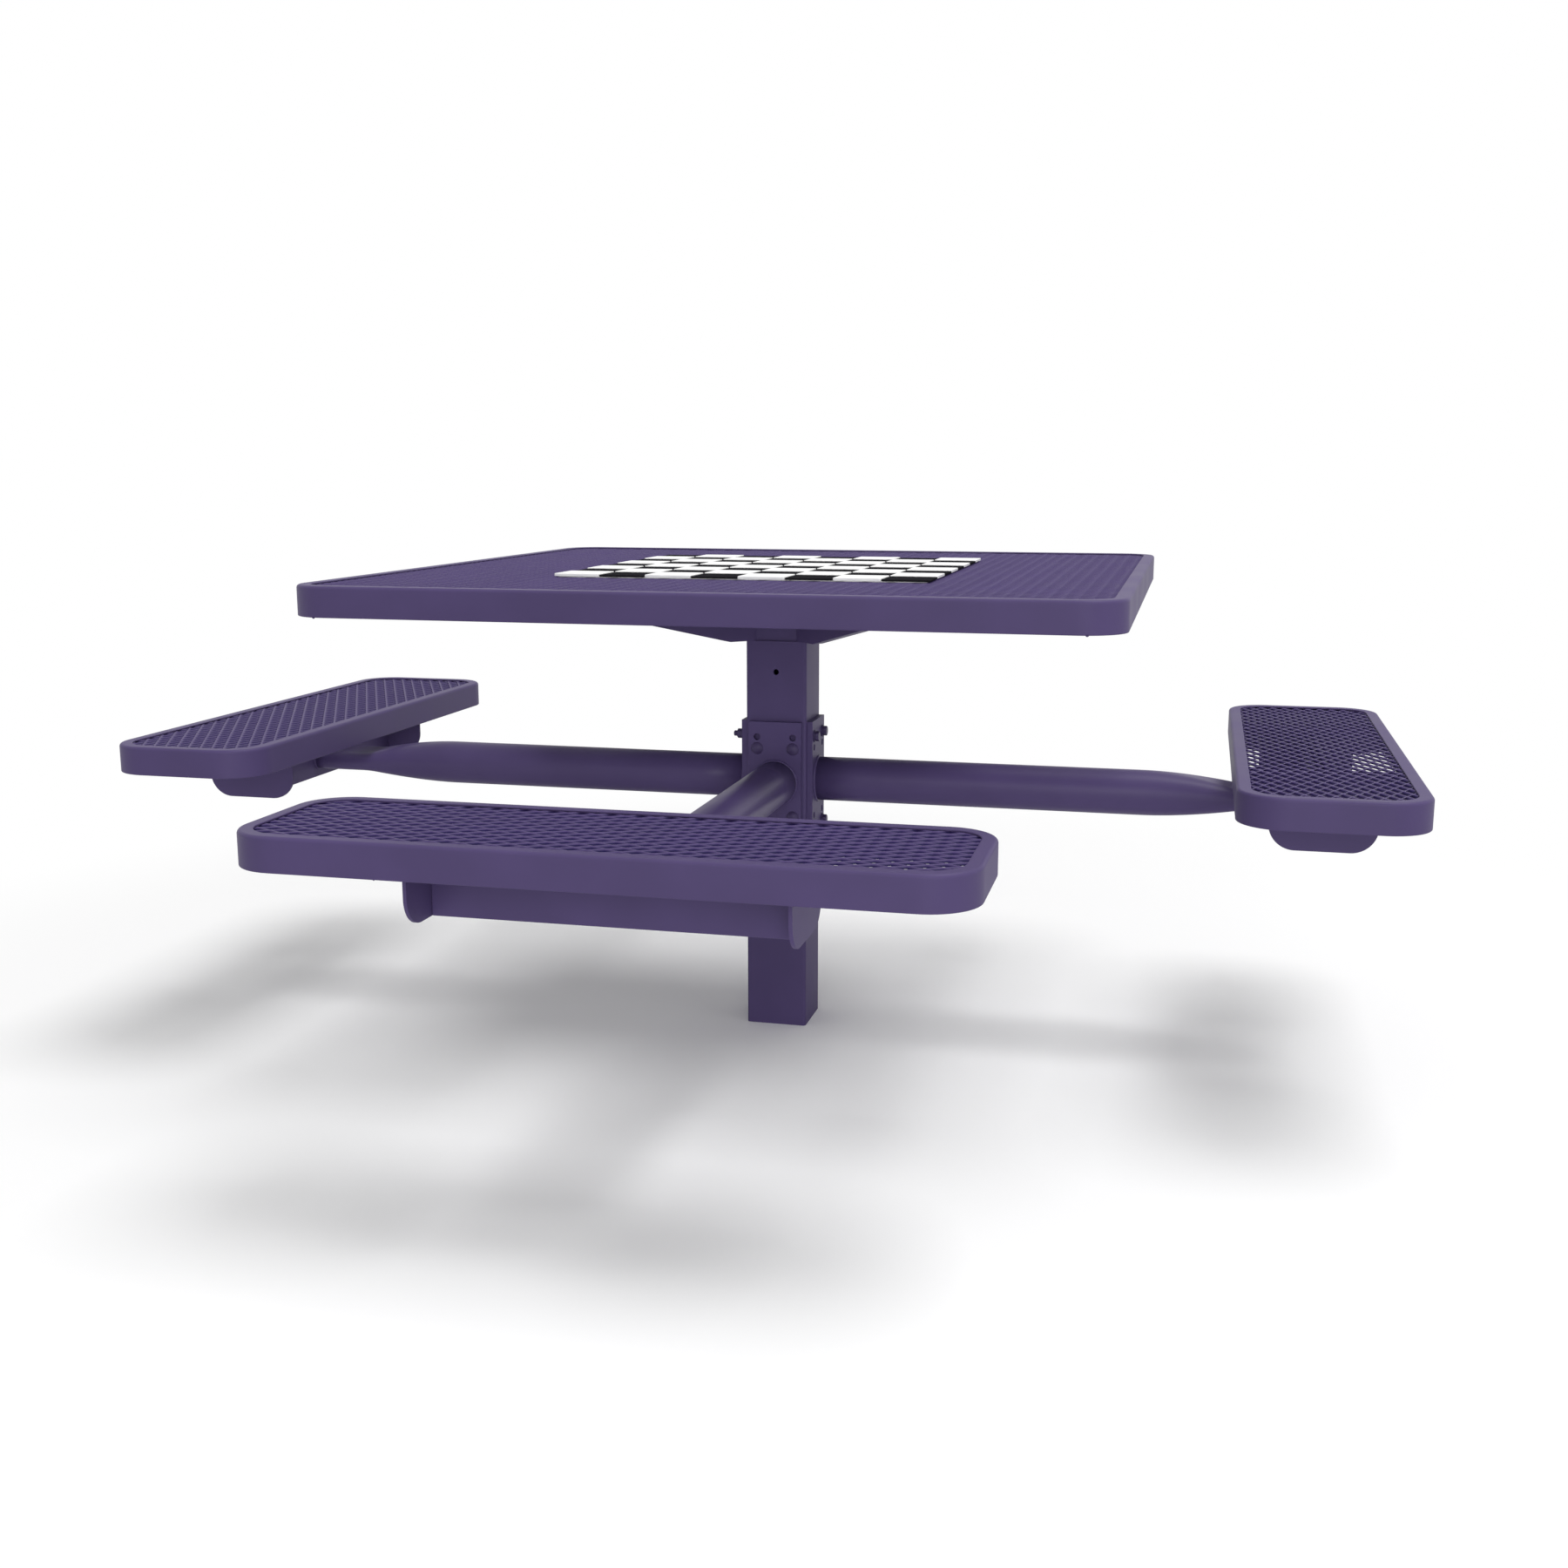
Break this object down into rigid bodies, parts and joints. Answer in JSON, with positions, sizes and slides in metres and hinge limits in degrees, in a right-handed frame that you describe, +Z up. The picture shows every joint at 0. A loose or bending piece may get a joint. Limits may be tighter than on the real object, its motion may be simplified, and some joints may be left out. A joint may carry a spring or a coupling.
{
  "type": "picnic table",
  "caption": "Pedestal picnic table with a square expanded-metal top, a checkered game board, and expanded-metal benches on arms that bolt round a square post; the rear side stays open.",
  "frame": {"origin": "on the ground, at the centre of the square post's bottom end", "axes": "+X to the bench at the right in the picture, -Y to the front bench and the viewer, +Z up"},
  "size_m": [1.968, 1.5682, 0.7748],
  "materials": {
    "coated_frame": "glossy thick thermoplastic coating",
    "coated_mesh": "glossy thick thermoplastic coating over expanded metal",
    "coated_fasteners": "coated steel",
    "board_white": "smooth satin plastic",
    "board_black": "smooth satin plastic"
  },
  "bodies": {
    "root": {"post": "coated_frame", "mount_sleeve": "coated_frame", "wing_front_right": "coated_frame", "wing_rear_right": "coated_frame", "wing_rear_left": "coated_frame", "wing_front_left": "coated_frame", "table_rim": "coated_frame", "table_mesh": "coated_mesh", "table_brace_left": "coated_frame", "table_brace_right": "coated_frame", "table_nuts": "coated_fasteners", "table_washers": "coated_fasteners", "board_base": "board_white", "white_squares": "board_white", "dark_squares": "board_black", "hub_plate_right": "coated_frame", "hub_plate_left": "coated_frame", "hub_plate_front": "coated_frame", "hub_plate_rear": "coated_frame", "arm_right": "coated_frame", "arm_left": "coated_frame", "arm_front": "coated_frame", "side_bolts": "coated_fasteners", "side_nuts": "coated_fasteners", "side_washers": "coated_fasteners", "cross_bolts": "coated_fasteners", "cross_nuts": "coated_fasteners", "cross_washers": "coated_fasteners", "right_seat_rim": "coated_frame", "right_seat_mesh": "coated_mesh", "right_seat_bar": "coated_frame", "right_seat_front_bracket": "coated_frame", "right_seat_rear_bracket": "coated_frame", "right_seat_front_strap": "coated_frame", "right_seat_rear_strap": "coated_frame", "right_seat_washers": "coated_fasteners", "right_seat_nuts": "coated_fasteners", "left_seat_rim": "coated_frame", "left_seat_mesh": "coated_mesh", "left_seat_bar": "coated_frame", "left_seat_rear_bracket": "coated_frame", "left_seat_front_bracket": "coated_frame", "left_seat_rear_strap": "coated_frame", "left_seat_front_strap": "coated_frame", "left_seat_washers": "coated_fasteners", "left_seat_nuts": "coated_fasteners", "front_seat_rim": "coated_frame", "front_seat_mesh": "coated_mesh", "front_seat_bar": "coated_frame", "front_seat_left_bracket": "coated_frame", "front_seat_right_bracket": "coated_frame", "front_seat_left_strap": "coated_frame", "front_seat_right_strap": "coated_frame", "front_seat_washers": "coated_fasteners", "front_seat_nuts": "coated_fasteners"}
  },
  "joints": []
}
